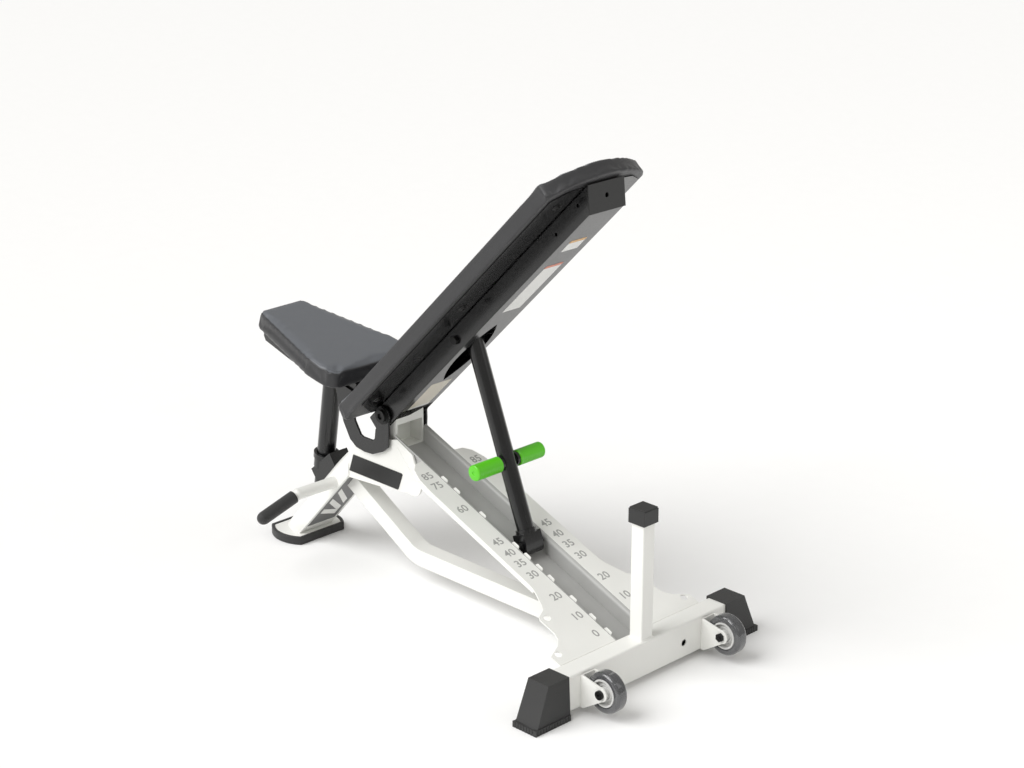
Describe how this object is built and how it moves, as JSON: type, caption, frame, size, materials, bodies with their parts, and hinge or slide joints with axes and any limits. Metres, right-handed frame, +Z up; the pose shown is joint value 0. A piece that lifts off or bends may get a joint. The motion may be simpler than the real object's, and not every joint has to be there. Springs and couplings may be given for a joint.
{
  "type": "adjustable weight bench",
  "caption": "Adjustable weight bench with a ladder-style backrest strut, tilting seat on a sliding post, rear transport wheels and a front lifting handle.",
  "frame": {"origin": "on the floor, under the middle of the bench footprint, on its vertical plane of symmetry", "axes": "+Z up, +X from the seat towards the wheels, +Y to the right of a person who stands behind the bench and faces the seat"},
  "size_m": [1.2968, 0.692, 1.0985],
  "materials": {
    "white_frame": "satin white powder coat",
    "black_frame": "satin black powder coat",
    "steel": "zinc plated steel",
    "bolt_black": "black oxide steel",
    "boot_rubber": "moulded black rubber",
    "cap_plastic": "moulded black plastic",
    "grip_rubber": "soft black rubber sleeve",
    "green_grip": "green urethane",
    "tyre_pu": "smoke grey polyurethane",
    "hub_plastic": "light grey moulded nylon",
    "badge_plastic": "blank black plate",
    "board": "black lined plywood",
    "vinyl": "grained black vinyl cover"
  },
  "bodies": {
    "frame": {"cross_tube": "white_frame", "boot_left": "boot_rubber", "boot_right": "boot_rubber", "support_post": "white_frame", "post_cap": "cap_plastic", "wheel_bracket_left": "white_frame", "wheel_bracket_right": "white_frame", "wheel_axle_left": "bolt_black", "wheel_axle_right": "bolt_black", "deck_wing_left": "white_frame", "deck_wing_right": "white_frame", "channel_wall_left": "white_frame", "channel_wall_right": "white_frame", "channel_floor": "white_frame", "rack_left": "white_frame", "rack_right": "white_frame", "core_block": "white_frame", "pivot_column": "white_frame", "side_plate_left": "white_frame", "side_plate_right": "white_frame", "badge_left": "badge_plastic", "badge_right": "badge_plastic", "lower_brace": "white_frame", "front_leg": "white_frame", "foot_plate": "white_frame", "foot_pad": "boot_rubber", "handle_tube": "white_frame", "handle_grip": "grip_rubber", "post_socket": "black_frame"},
    "wheel_left": {"wheel_hub_left": "hub_plastic", "wheel_tyre_left": "tyre_pu"},
    "wheel_right": {"wheel_hub_right": "hub_plastic", "wheel_tyre_right": "tyre_pu"},
    "seat": {"pivot_bolt": "bolt_black", "hook_plate_left": "black_frame", "hook_plate_right": "black_frame", "seat_beam": "black_frame", "seat_board": "board", "seat_pad": "vinyl", "hinge_pin": "bolt_black"},
    "seat_post": {"seat_post": "black_frame"},
    "pivot_sleeve": {"pivot_sleeve": "steel"},
    "backrest": {"back_beam": "black_frame", "beam_cap": "cap_plastic", "pad_rail_left": "black_frame", "pad_rail_right": "black_frame", "pad_screws": "bolt_black", "back_board": "board", "back_pad": "vinyl", "strut_bolt": "bolt_black"},
    "strut_bush": {"strut_bush": "steel"},
    "strut": {"strut_tube": "black_frame", "grip_bar": "black_frame", "grip_left": "green_grip", "grip_right": "green_grip", "strut_hook": "black_frame", "foot_pin": "bolt_black"}
  },
  "joints": [
    {"name": "wheel_left_spin", "type": "hinge", "parent": "frame", "child": "wheel_left", "pos_m": [0.607, -0.1865, 0.0615], "axis": [0, 1, 0], "continuous": true},
    {"name": "wheel_right_spin", "type": "hinge", "parent": "frame", "child": "wheel_right", "pos_m": [0.607, 0.1865, 0.0615], "axis": [0, 1, 0], "continuous": true},
    {"name": "seat_tilt", "type": "hinge", "parent": "frame", "child": "seat", "pos_m": [-0.206, 0, 0.4055], "axis": [0, 1, 0], "range_deg": [-10, 10]},
    {"name": "seat_post_swing", "type": "hinge", "parent": "seat", "child": "seat_post", "pos_m": [-0.43811, 0, 0.45946], "axis": [0, 1, 0], "range_deg": [-9.6, 9.6]},
    {"name": "backrest_lower", "type": "hinge", "parent": "frame", "child": "pivot_sleeve", "pos_m": [-0.206, 0, 0.4055], "axis": [0, -1, 0], "range_deg": [-44.5, 0]},
    {"name": "backrest_raise", "type": "hinge", "parent": "pivot_sleeve", "child": "backrest", "pos_m": [-0.206, 0, 0.4055], "axis": [0, -1, 0], "range_deg": [0, 40]},
    {"name": "strut_follow_lower", "type": "hinge", "parent": "backrest", "child": "strut_bush", "pos_m": [0.02735, 0, 0.63885], "axis": [0, -1, 0], "range_deg": [0, 71]},
    {"name": "strut_follow_raise", "type": "hinge", "parent": "strut_bush", "child": "strut", "pos_m": [0.02735, 0, 0.63885], "axis": [0, -1, 0], "range_deg": [-42.5, 0]}
  ],
  "couplings": [
    {"joint": "seat_post_swing", "follows": "seat_tilt", "ratio": -0.948},
    {"joint": "strut_follow_lower", "follows": "backrest_lower", "ratio": -1.5904},
    {"joint": "strut_follow_raise", "follows": "backrest_raise", "ratio": -1.0572}
  ]
}
